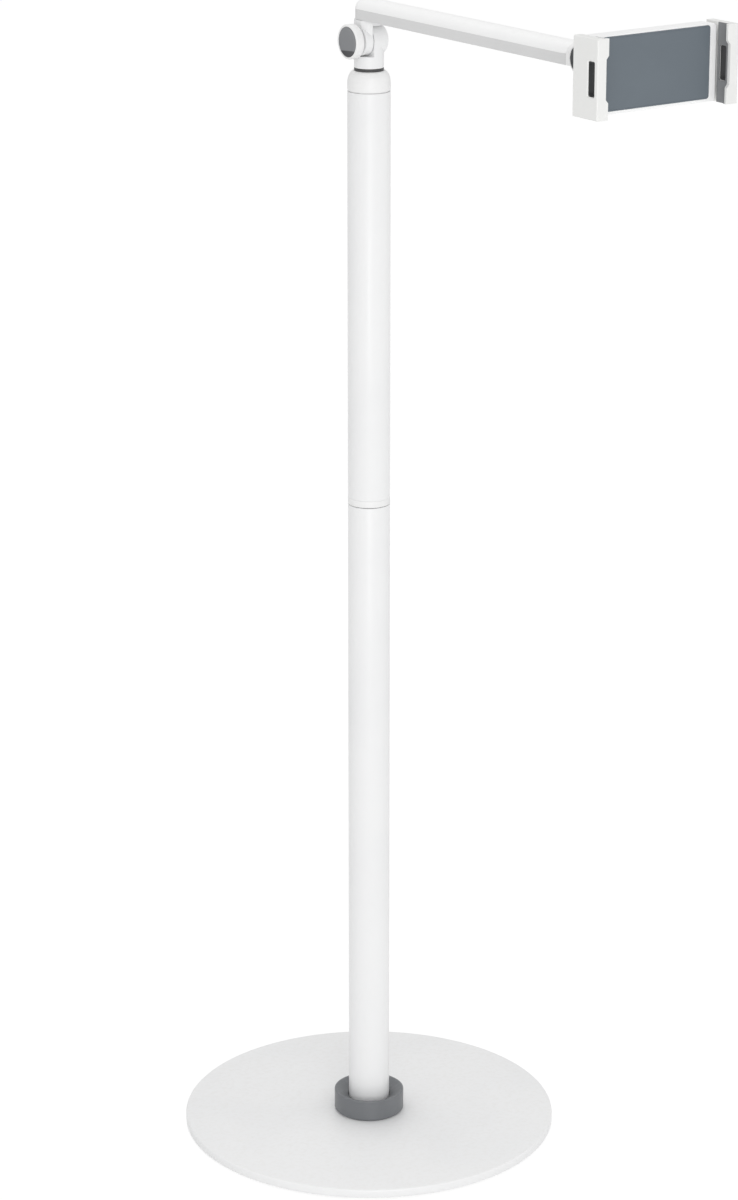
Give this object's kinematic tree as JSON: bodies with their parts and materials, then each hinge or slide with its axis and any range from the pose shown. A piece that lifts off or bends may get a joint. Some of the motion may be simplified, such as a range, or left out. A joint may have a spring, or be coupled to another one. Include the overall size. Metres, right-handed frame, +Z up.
{
  "type": "adjustable_tablet_floor_stand",
  "caption": "Free-standing tablet stand with a disc base, a telescoping mast, a swivelling and tilting arm, and a spring-jawed tablet holder on a tilting, turning wrist",
  "frame": {"origin": "Centre of the flat underside of the round base, which rests on the floor.", "axes": "+Z is up along the mast. -Y points along the arm from the mast to the tablet holder, which faces -Y. X runs along the holder's width, and both clamping knobs are on the -X side."},
  "size_m": [0.32, 0.532, 0.9994],
  "materials": {
    "white_metal": "satin",
    "grey_metal": "satin",
    "white_plastic": "satin",
    "dark_plastic": "matte",
    "black_plastic": "matte",
    "grey_silicone": "matte",
    "black_rubber": "matte",
    "steel": "brushed",
    "brass": "satin"
  },
  "bodies": {
    "base": {"base_pad": "black_rubber", "base_plate": "white_metal", "base_bolt": "steel", "mast_foot_plug": "steel", "base_collar": "dark_plastic", "lower_tube": "white_metal", "lower_bushing": "dark_plastic"},
    "lock_ring": {"lock_collar": "white_plastic"},
    "upper_mast": {"inner_tube": "white_metal", "guide_shoe": "dark_plastic", "upper_tube": "white_metal", "upper_tube_sleeves": "dark_plastic", "shoulder_cap": "white_plastic"},
    "neck": {"neck_gasket": "black_plastic", "neck_spindle": "steel", "swivel_washer": "steel", "swivel_nut": "steel", "neck_knuckle": "white_metal", "head_friction_disc": "dark_plastic", "head_pivot_bolt": "steel"},
    "head_knob_body": {"head_knob": "white_plastic", "head_knob_insert": "dark_plastic", "head_knob_nut": "brass", "head_knob_washer": "dark_plastic"},
    "arm": {"tilt_bracket": "white_metal", "arm_root_screws": "steel", "arm_beam": "grey_metal", "arm_cover": "white_plastic", "wrist_lug": "white_plastic", "wrist_lug_screw": "steel", "wrist_friction_disc": "dark_plastic", "wrist_pivot_bolt": "steel"},
    "wrist_knob_body": {"wrist_knob": "white_plastic", "wrist_knob_insert": "dark_plastic", "wrist_knob_nut": "brass", "wrist_knob_washer": "dark_plastic"},
    "wrist": {"wrist_yoke": "white_plastic", "roll_gasket": "dark_plastic", "roll_bolt": "steel", "roll_washer": "steel"},
    "holder": {"holder_back_cover": "white_plastic", "holder_front_frame": "white_plastic", "holder_pad": "grey_silicone", "holder_screws": "steel", "left_spring": "steel", "right_spring": "steel"},
    "left_jaw_body": {"left_jaw": "white_plastic", "left_jaw_liner": "grey_silicone", "left_slot_sleeve": "black_plastic", "left_rail": "steel"},
    "right_jaw_body": {"right_jaw": "white_plastic", "right_jaw_liner": "grey_silicone", "right_slot_sleeve": "black_plastic", "right_rail": "steel"}
  },
  "joints": [
    {"name": "lock_twist", "type": "hinge", "parent": "base", "child": "lock_ring", "pos_m": [0, 0, 0.5626], "axis": [0, 0, 1], "range_deg": [0, 60]},
    {"name": "mast_height", "type": "slide", "parent": "base", "child": "upper_mast", "axis": [0, 0, 1], "range_m": [0, 0.25]},
    {"name": "head_swivel", "type": "hinge", "parent": "upper_mast", "child": "neck", "pos_m": [0, 0, 0.9232], "axis": [0, 0, 1], "continuous": true},
    {"name": "head_tilt", "type": "hinge", "parent": "neck", "child": "arm", "pos_m": [0, 0, 0.945], "axis": [-1, 0, 0], "range_deg": [-60, 90]},
    {"name": "head_knob_turn", "type": "hinge", "parent": "neck", "child": "head_knob_body", "pos_m": [-0.015, 0, 0.945], "axis": [1, 0, 0], "range_deg": [0, 360]},
    {"name": "wrist_tilt", "type": "hinge", "parent": "arm", "child": "wrist", "pos_m": [0, -0.292, 0.97015], "axis": [-1, 0, 0], "range_deg": [-90, 90]},
    {"name": "wrist_knob_turn", "type": "hinge", "parent": "arm", "child": "wrist_knob_body", "pos_m": [-0.015, -0.292, 0.97015], "axis": [1, 0, 0], "range_deg": [0, 360]},
    {"name": "holder_roll", "type": "hinge", "parent": "wrist", "child": "holder", "pos_m": [0, -0.332, 0.97015], "axis": [0, -1, 0], "continuous": true},
    {"name": "left_jaw_slide", "type": "slide", "parent": "holder", "child": "left_jaw_body", "axis": [-1, 0, 0], "range_m": [0, 0.05], "stiffness_N_per_m": 150, "springref_m": -0.03, "deforming": ["left_spring"]},
    {"name": "right_jaw_slide", "type": "slide", "parent": "holder", "child": "right_jaw_body", "axis": [1, 0, 0], "range_m": [0, 0.05], "stiffness_N_per_m": 150, "springref_m": -0.03, "deforming": ["right_spring"]}
  ]
}
